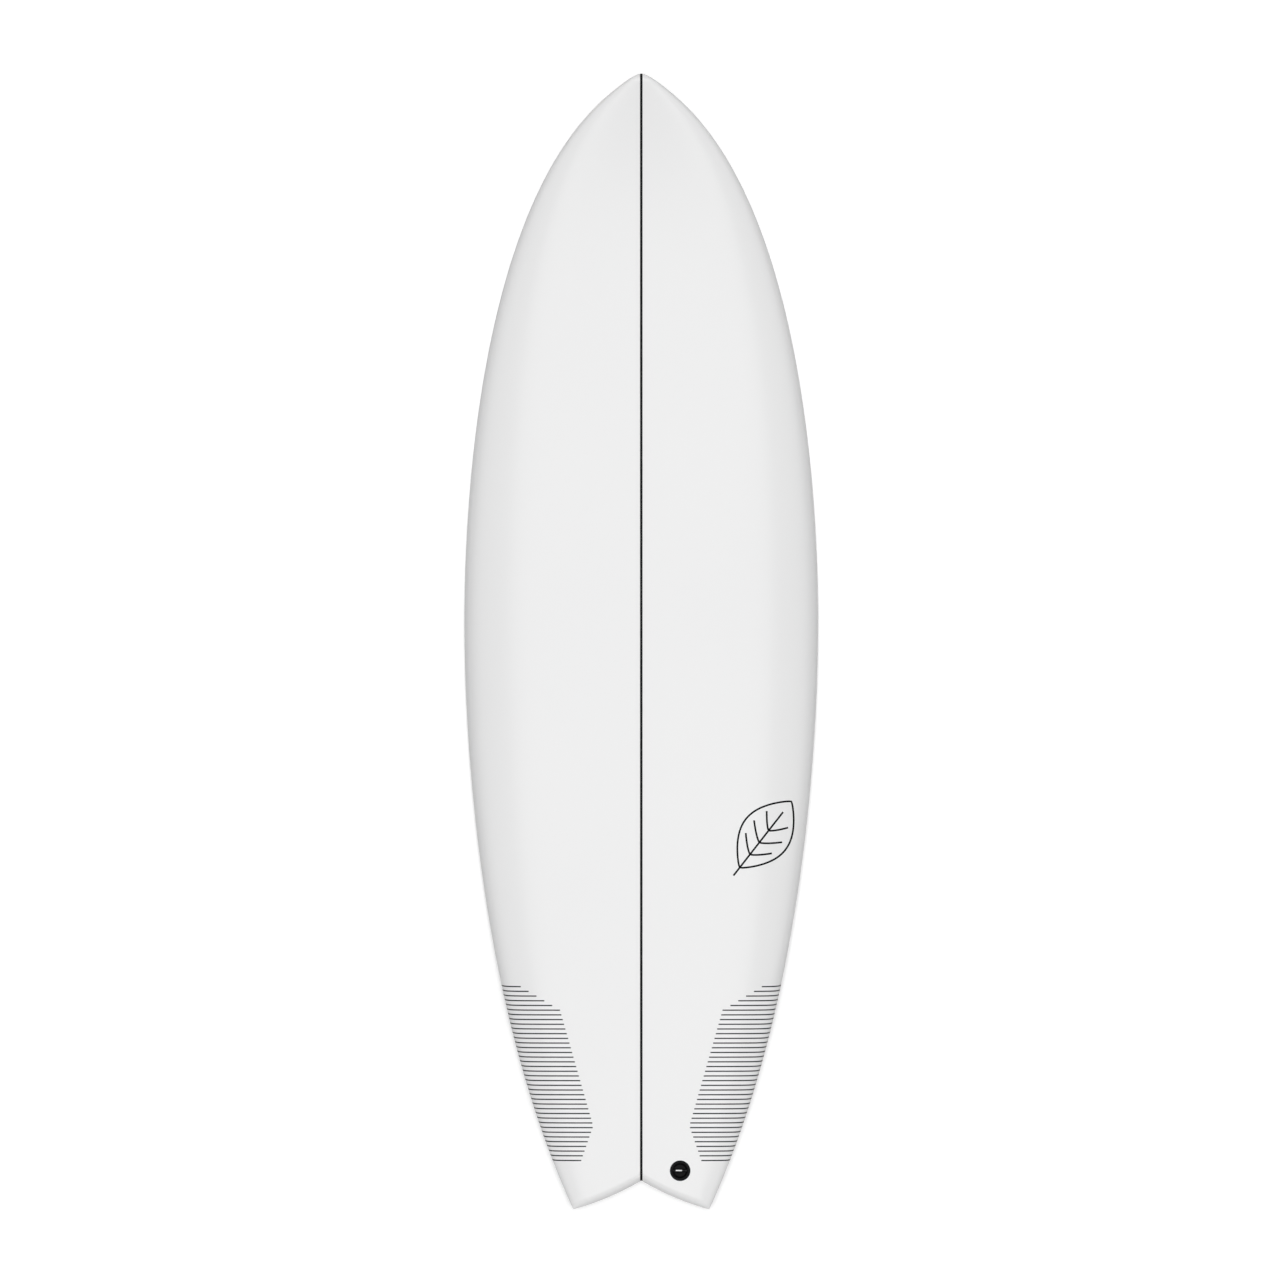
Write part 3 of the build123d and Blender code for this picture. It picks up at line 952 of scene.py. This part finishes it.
def studio_world():
    """An even pale room with one large soft light straight above the board."""
    world = bpy.data.worlds.new("studio")
    world.use_nodes = True
    nodes, links = world.node_tree.nodes, world.node_tree.links
    direction = nodes.new("ShaderNodeTexCoord").outputs["Generated"]

    def inside(axis, reach):
        """1 where a direction is within the soft light's reach along an axis."""
        dot = nodes.new("ShaderNodeVectorMath")
        dot.operation = "DOT_PRODUCT"
        dot.inputs[1].default_value = axis
        links.new(direction, dot.inputs[0])
        size = nodes.new("ShaderNodeMath")
        size.operation = "ABSOLUTE"
        links.new(dot.outputs["Value"], size.inputs[0])
        edge = nodes.new("ShaderNodeMapRange")
        edge.interpolation_type = "SMOOTHSTEP"
        edge.inputs["From Min"].default_value = sin(radians(reach + SOFTBOX_EDGE))
        edge.inputs["From Max"].default_value = sin(radians(reach - SOFTBOX_EDGE))
        links.new(size.outputs["Value"], edge.inputs["Value"])
        return edge.outputs["Result"]

    def multiply(first, second):
        product = nodes.new("ShaderNodeMath")
        product.operation = "MULTIPLY"
        links.new(first, product.inputs[0])
        links.new(second, product.inputs[1])
        return product.outputs["Value"]

    separate = nodes.new("ShaderNodeSeparateXYZ")
    links.new(direction, separate.inputs["Vector"])
    above = nodes.new("ShaderNodeMath")
    above.operation = "GREATER_THAN"
    above.inputs[1].default_value = 0.0
    links.new(separate.outputs["Z"], above.inputs[0])
    box = multiply(inside((1, 0, 0), SOFTBOX_REACH[0]), inside(board_ahead, SOFTBOX_REACH[1]))
    room = nodes.new("ShaderNodeMapRange")
    room.inputs["To Min"].default_value = ROOM_LIGHT
    room.inputs["To Max"].default_value = ROOM_LIGHT + SOFTBOX_LIGHT
    links.new(box, room.inputs["Value"])
    strength = nodes.new("ShaderNodeMix")
    strength.inputs["A"].default_value = FLOOR_GLOW
    links.new(room.outputs["Result"], strength.inputs["B"])
    links.new(above.outputs["Value"], strength.inputs["Factor"])
    nodes["Background"].inputs["Color"].default_value = (1, 1, 1, 1)
    links.new(strength.outputs["Result"], nodes["Background"].inputs["Strength"])
    return world


scene.world = studio_world()

camera_data = bpy.data.cameras.new("camera")
camera_data.sensor_width = SENSOR
camera_data.lens = SENSOR * CAMERA_DISTANCE / VIEW_WIDTH
camera_data.clip_end = FLOOR_SIZE
camera = bpy.data.objects.new("camera", camera_data)
scene.collection.objects.link(camera)
eye = PLACE @ Vector(VIEW_CENTRE) + board_up * CAMERA_DISTANCE
camera.matrix_world = Matrix.Translation(eye) @ pitched
scene.camera = camera

key_data = bpy.data.lights.new("key", "SUN")
key_data.energy = KEY_LIGHT
key_data.angle = radians(KEY_ANGLE)
key = bpy.data.objects.new("key", key_data)
key.matrix_world = camera.matrix_world
key.visible_glossy = False
scene.collection.objects.link(key)
